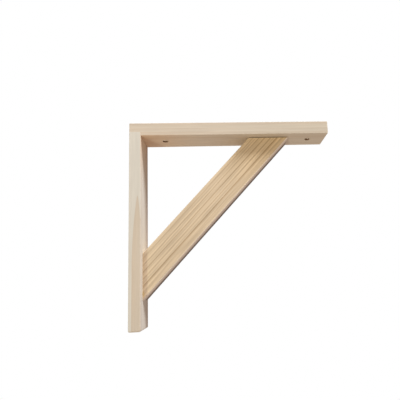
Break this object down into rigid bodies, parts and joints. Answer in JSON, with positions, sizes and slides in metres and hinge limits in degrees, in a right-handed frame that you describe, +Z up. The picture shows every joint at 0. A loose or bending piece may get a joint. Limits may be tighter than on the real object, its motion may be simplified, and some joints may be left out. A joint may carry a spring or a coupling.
{
  "type": "shelf bracket",
  "caption": "Triangular pine shelf bracket: a wall upright and a shelf arm joined at a right angle and held by a diagonal brace, with screw holes up through the arm.",
  "frame": {"origin": "centre of the wall face, halfway up the bracket and midway across the upright", "axes": "+X out from the wall along the arm, +Z up, +Y across the boards towards the side where the brace is flush"},
  "size_m": [0.25, 0.04, 0.25],
  "materials": {
    "arm_pine": "planed bare pine, quiet straight grain",
    "upright_pine": "planed bare pine with a darker tapering streak of grain",
    "brace_pine": "planed bare pine, close straight darker grain lines"
  },
  "bodies": {
    "root": {"arm": "arm_pine", "upright": "upright_pine", "brace": "brace_pine"}
  },
  "joints": []
}
